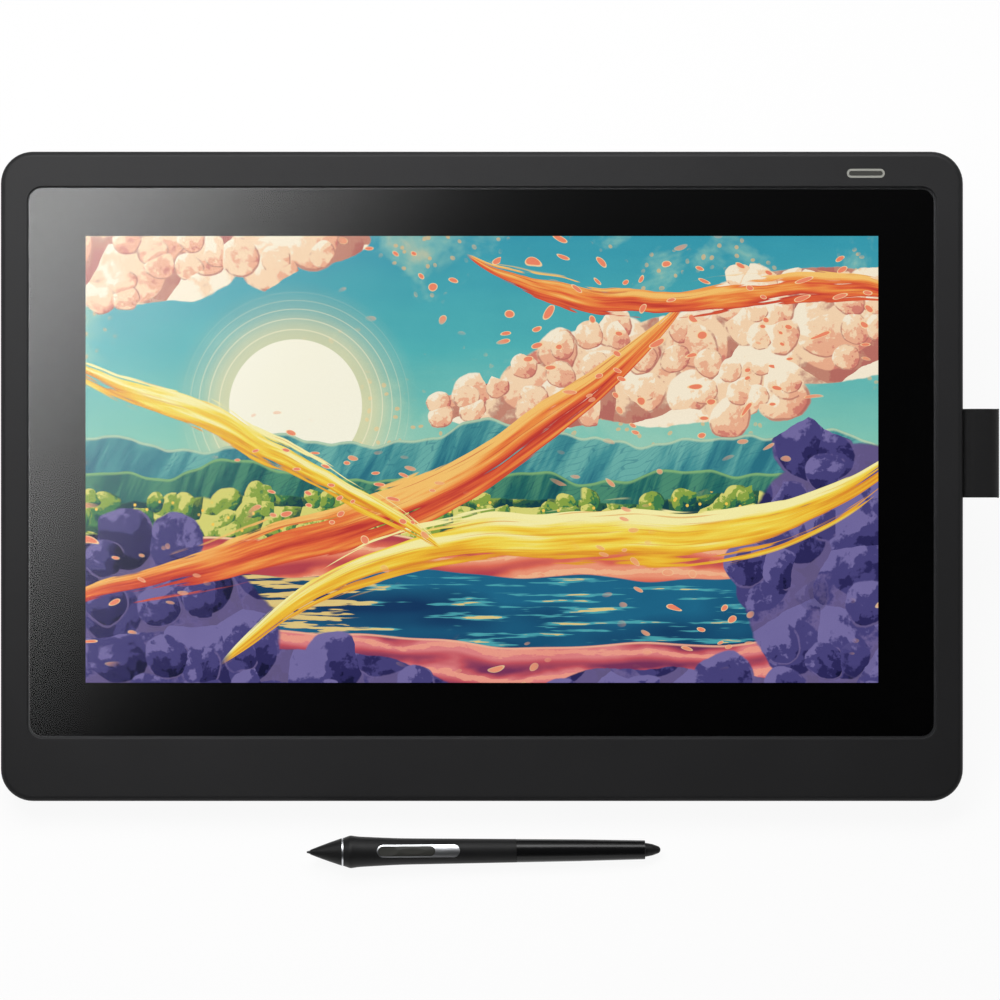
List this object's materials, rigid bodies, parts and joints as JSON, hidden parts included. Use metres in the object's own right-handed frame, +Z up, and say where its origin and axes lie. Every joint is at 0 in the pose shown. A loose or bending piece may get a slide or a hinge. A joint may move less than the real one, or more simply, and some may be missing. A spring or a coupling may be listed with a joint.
{
  "type": "graphics tablet with screen",
  "caption": "Pen display tablet with a wide etched-glass screen, standing on fold-out legs, with a side pen loop and a pressure pen lying in front.",
  "frame": {"origin": "middle of the front foot's contact face, on the desk top", "axes": "+X to the user's right along the screen's long edge, +Y away from the user, +Z up; the screen leans back so that it faces 19 degrees off vertical"},
  "size_m": [0.4361, 0.2988, 0.1077],
  "materials": {
    "matte_black": "fine spark-eroded texture",
    "cover_black": "fine spark-eroded texture",
    "etched_glass": "anti-glare etched",
    "print_black": "printed",
    "screen_cell": "lit picture",
    "board_green": "solder mask",
    "light_guide": "white",
    "shield": "rolled sheet",
    "chassis_grey": "moulded",
    "rubber_black": "matt",
    "screw_black": "black zinc",
    "bright_steel": "ground",
    "nib_grey": "moulded",
    "ring_light": "translucent",
    "button_black": "satin",
    "chip_black": "epoxy",
    "ribbon_amber": "film",
    "plug_white": "moulded",
    "loop_fabric": "woven elastic",
    "grip_rubber": "soft-touch",
    "barrel_gloss": "polished",
    "silver_plate": "satin plated",
    "coil_copper": "enamelled wire"
  },
  "bodies": {
    "tablet": {"front_bezel": "matte_black", "cover_glass": "etched_glass", "border_film": "print_black", "shield_sheet": "shield", "sensor_board": "board_green", "backlight_unit": "light_guide", "lcd_cell": "screen_cell", "driver_strip": "board_green", "chassis": "chassis_grey", "rear_cover": "cover_black", "front_foot": "rubber_black", "rear_feet": "rubber_black", "cover_screws": "screw_black", "bezel_screws": "screw_black", "left_hinge_pin": "bright_steel", "right_hinge_pin": "bright_steel", "hinge_clips": "bright_steel", "spare_nibs": "nib_grey", "nib_puller": "bright_steel", "light_ring": "ring_light", "button_board": "board_green", "press_switch": "chip_black", "main_board": "board_green", "board_chips": "chip_black", "board_screws": "screw_black", "cable_socket": "bright_steel", "panel_ribbon": "ribbon_amber", "sensor_ribbon": "ribbon_amber", "ribbon_plugs": "plug_white", "loop_clip": "matte_black", "pen_loop": "loop_fabric"},
    "left_leg": {"left_leg": "cover_black", "left_leg_pad": "rubber_black"},
    "right_leg": {"right_leg": "cover_black", "right_leg_pad": "rubber_black"},
    "power_button": {"power_button": "button_black"},
    "pen": {"pen_grip": "grip_rubber", "pen_barrel": "barrel_gloss", "pen_cone": "grip_rubber", "pen_ring": "silver_plate", "pen_trim": "silver_plate", "pen_coil": "coil_copper", "pen_core": "chassis_grey"},
    "pen_nib": {"pen_nib": "nib_grey"},
    "pen_eraser": {"pen_eraser": "grip_rubber"},
    "pen_switch": {"pen_switch": "button_black"}
  },
  "joints": [
    {"name": "left_leg_fold", "type": "hinge", "parent": "tablet", "child": "left_leg", "pos_m": [-0.12, 0.19681, 0.07328], "axis": [1, 0, 0], "range_deg": [-90, 0]},
    {"name": "right_leg_fold", "type": "hinge", "parent": "tablet", "child": "right_leg", "pos_m": [0.12, 0.19681, 0.07328], "axis": [1, 0, 0], "range_deg": [-90, 0]},
    {"name": "power_press", "type": "slide", "parent": "tablet", "child": "power_button", "axis": [0, 0.3256, -0.9455], "range_m": [0, 0.0005], "stiffness_N_per_m": 600, "springref_m": -0.0004},
    {"name": "pen_lift", "type": "slide", "parent": "tablet", "child": "pen", "axis": [0, 0, 1], "range_m": [0, 0.15]},
    {"name": "nib_press", "type": "slide", "parent": "pen", "child": "pen_nib", "axis": [0.9996, 0.014, -0.0231], "range_m": [0, 0.0004], "stiffness_N_per_m": 1500, "springref_m": -0.0003},
    {"name": "eraser_press", "type": "slide", "parent": "pen", "child": "pen_eraser", "axis": [-0.9996, -0.014, 0.0231], "range_m": [0, 0.0006], "stiffness_N_per_m": 1000, "springref_m": -0.0004},
    {"name": "side_switch_rock", "type": "hinge", "parent": "pen", "child": "pen_switch", "pos_m": [-0.0328, -0.04764, 0.01101], "axis": [-0.0077, 0.9681, 0.2503], "range_deg": [-2, 2], "stiffness_Nm_per_rad": 0.05}
  ]
}
